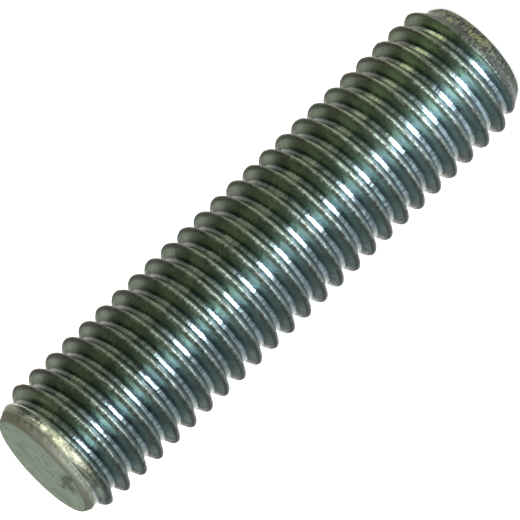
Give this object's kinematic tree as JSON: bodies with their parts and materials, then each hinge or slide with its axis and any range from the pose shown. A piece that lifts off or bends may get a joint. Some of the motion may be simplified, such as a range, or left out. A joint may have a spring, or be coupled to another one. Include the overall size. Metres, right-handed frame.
{
  "type": "threaded stud",
  "caption": "Headless straight stud with a coarse right-hand thread over its whole length and a chamfered flat face at either end.",
  "frame": {"origin": "centre of the lower end face, the face the stud stands on", "axes": "+Z along the stud's axis to its other end face; the thread groove is centred on z = 0 at 138.7 degrees from +X towards +Y"},
  "size_m": [0.0098, 0.0098, 0.04],
  "materials": {
    "zinc_plated_steel": "bright zinc plate over rolled steel, clear passivated, with faint blue and straw tints, fine rolling streaks and small dull specks"
  },
  "bodies": {
    "root": {"stud": "zinc_plated_steel"}
  },
  "joints": []
}
